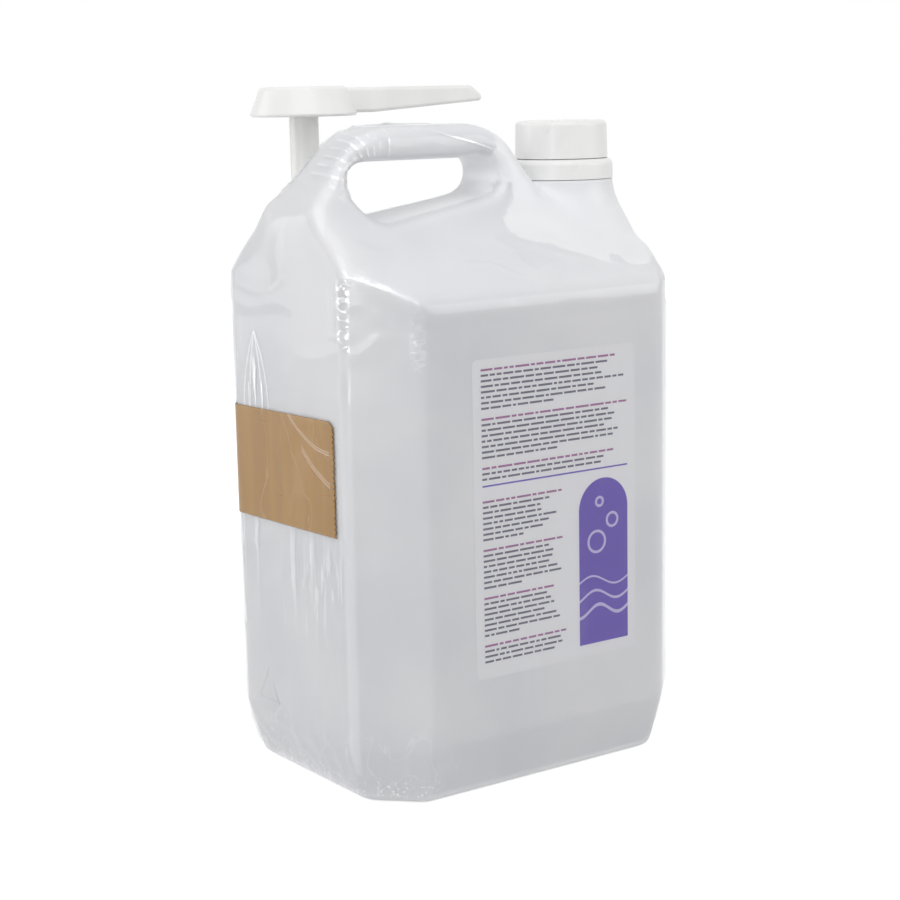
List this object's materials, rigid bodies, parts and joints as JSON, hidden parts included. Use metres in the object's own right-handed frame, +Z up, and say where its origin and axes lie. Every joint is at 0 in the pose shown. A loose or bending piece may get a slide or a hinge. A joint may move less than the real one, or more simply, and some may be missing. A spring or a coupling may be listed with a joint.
{
  "type": "lotion can with pump",
  "caption": "White octagonal lotion can with a carrying handle and a screw cap, and a long-spout lotion pump packed upright behind it under brown tape and clear film.",
  "frame": {"origin": "middle of the can's base, on the floor", "axes": "+X along the can towards the neck, +Y to the back, where the pump stands, +Z up"},
  "size_m": [0.181, 0.1809, 0.307],
  "materials": {
    "can_plastic": "satin white blow-moulded polyethylene",
    "label_paper": "printed paper with a purple block",
    "cap_plastic": "satin white moulded plastic",
    "liner_foam": "white foam sheet",
    "pump_plastic": "semi-gloss white moulded plastic",
    "clear_plastic": "natural translucent polypropylene",
    "seal_rubber": "soft dark seal",
    "spring_steel": "drawn spring wire",
    "ball_steel": "polished ball",
    "film_clear": "clear stretch film",
    "tape_brown": "glossy brown packing tape"
  },
  "bodies": {
    "can": {"can_body": "can_plastic", "front_label": "label_paper", "tamper_band": "cap_plastic", "packing_tape": "tape_brown", "stretch_film": "film_clear", "pump_cylinder": "clear_plastic", "stem_guide": "pump_plastic", "neck_gasket": "seal_rubber", "ball_retainer": "clear_plastic", "dip_tube": "clear_plastic", "return_spring": "spring_steel"},
    "plunger": {"piston": "clear_plastic", "piston_ring": "seal_rubber", "pump_stem": "pump_plastic"},
    "head": {"pump_head": "pump_plastic"},
    "collar": {"pump_collar": "pump_plastic"},
    "liner": {"cap_liner": "liner_foam"},
    "cap": {"screw_cap": "cap_plastic"},
    "inlet_valve": {"inlet_ball": "ball_steel"},
    "outlet_valve": {"outlet_ball": "ball_steel"}
  },
  "joints": [
    {"name": "plunger_press", "type": "slide", "parent": "can", "child": "plunger", "axis": [0, 0, -1], "range_m": [0, 0.046], "stiffness_N_per_m": 250, "springref_m": -0.012, "deforming": ["return_spring"]},
    {"name": "head_turn", "type": "hinge", "parent": "plunger", "child": "head", "pos_m": [-0.0245, 0.0849, 0.3], "axis": [0, 0, 1], "range_deg": [0, 180]},
    {"name": "outlet_lift", "type": "slide", "parent": "plunger", "child": "outlet_valve", "axis": [0, 0, 1], "range_m": [0, 0.0025]},
    {"name": "inlet_lift", "type": "slide", "parent": "can", "child": "inlet_valve", "axis": [0, 0, 1], "range_m": [0, 0.003]},
    {"name": "collar_turn", "type": "hinge", "parent": "can", "child": "collar", "pos_m": [-0.0245, 0.0849, 0.23], "axis": [0, 0, 1], "continuous": true},
    {"name": "cap_lift", "type": "slide", "parent": "can", "child": "liner", "axis": [0, 0, 1], "range_m": [0, 0.01]},
    {"name": "cap_turn", "type": "hinge", "parent": "liner", "child": "cap", "pos_m": [0.0642, 0, 0.28], "axis": [0, 0, 1], "range_deg": [0, 900]}
  ],
  "couplings": [
    {"joint": "cap_turn", "follows": "cap_lift", "rad_per_m": 1570.8}
  ]
}
